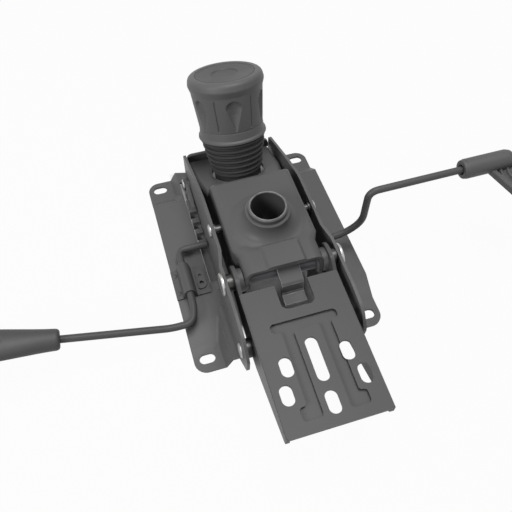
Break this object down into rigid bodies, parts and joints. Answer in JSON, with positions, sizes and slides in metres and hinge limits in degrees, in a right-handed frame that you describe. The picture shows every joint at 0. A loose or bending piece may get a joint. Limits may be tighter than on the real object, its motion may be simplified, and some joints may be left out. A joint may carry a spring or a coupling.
{
  "type": "office chair tilt mechanism",
  "caption": "Pressed-steel tilt mechanism that joins an office chair's seat, backrest and gas lift, with a tension knob and lock and height levers.",
  "frame": {"origin": "centre of the four seat bolts on the seat face", "axes": "+X to the right of the picture, +Y to the front of the chair, +Z away from the seat, so the mechanism lies on its seat face with the underside up"},
  "size_m": [0.5407, 0.3322, 0.1501],
  "materials": {
    "painted_steel": "satin powder coat",
    "zinc_steel": "zinc plated",
    "black_plastic": "fine texture",
    "boot_rubber": "matte",
    "spring_steel": "oiled spring steel"
  },
  "bodies": {
    "seat": {"seat_bracket_left": "painted_steel", "seat_bracket_right": "painted_steel", "back_bracket": "painted_steel", "tilt_axle": "spring_steel", "axle_rings": "zinc_steel", "ear_spacers": "zinc_steel", "thrust_rings": "black_plastic", "link_pins": "zinc_steel", "link_spacers": "zinc_steel", "stop_pins": "zinc_steel", "spring_bridge": "painted_steel", "lever_clip": "painted_steel", "clip_rivets": "painted_steel"},
    "housing": {"housing": "painted_steel", "gas_socket": "painted_steel", "axle_bushes": "black_plastic", "stop_tongue": "painted_steel", "release_pivot": "zinc_steel", "release_bracket": "painted_steel", "spring_cup": "zinc_steel", "spring_boot": "boot_rubber", "main_spring": "spring_steel"},
    "bolt": {"tension_bolt": "zinc_steel", "trunnion": "zinc_steel", "bolt_nut": "zinc_steel"},
    "thrust": {"thrust_washer": "zinc_steel"},
    "knob": {"tension_knob": "black_plastic", "knob_cap": "black_plastic", "knob_nut": "zinc_steel"},
    "comb": {"lock_comb": "painted_steel", "comb_pin": "zinc_steel", "comb_ring": "zinc_steel"},
    "lock_lever": {"lock_lever": "painted_steel", "lock_handle": "black_plastic"},
    "release_lever": {"release_lever": "painted_steel", "release_handle": "black_plastic"}
  },
  "joints": [
    {"name": "tilt", "type": "hinge", "parent": "seat", "child": "housing", "pos_m": [0, -0.0715, 0.069], "axis": [1, 0, 0], "range_deg": [0, 9], "stiffness_Nm_per_rad": 60, "springref_deg": -14.32, "deforming": ["spring_boot", "main_spring"]},
    {"name": "bolt_slide", "type": "slide", "parent": "housing", "child": "bolt", "axis": [0, 0.3584, 0.9336], "range_m": [-0.0209, 0], "deforming": ["spring_boot", "main_spring"]},
    {"name": "thrust_travel", "type": "slide", "parent": "bolt", "child": "thrust", "axis": [0, 0.3584, 0.9336], "range_m": [-0.00226, 0], "deforming": ["spring_boot", "main_spring"]},
    {"name": "knob_turn", "type": "hinge", "parent": "thrust", "child": "knob", "pos_m": [0, 0.062, 0.05], "axis": [0, 0.3584, 0.9336], "range_deg": [0, 540], "deforming": ["spring_boot", "main_spring"]},
    {"name": "comb_slide", "type": "slide", "parent": "seat", "child": "comb", "axis": [0, 1, 0], "range_m": [-0.041, 0]},
    {"name": "lock_swing", "type": "hinge", "parent": "seat", "child": "lock_lever", "pos_m": [-0.075, -0.028, 0.0215], "axis": [0, 1, 0], "range_deg": [0, 12]},
    {"name": "release_swing", "type": "hinge", "parent": "housing", "child": "release_lever", "pos_m": [0.022, -0.029, 0.03], "axis": [0, 1, 0], "range_deg": [0, 9], "stiffness_Nm_per_rad": 3, "springref_deg": -20.05}
  ],
  "couplings": [
    {"joint": "bolt_slide", "follows": "tilt", "m_per_rad": -0.13144},
    {"joint": "comb_slide", "follows": "tilt", "m_per_rad": -0.25974},
    {"joint": "thrust_travel", "follows": "knob_turn", "m_per_rad": -0.00023873}
  ]
}
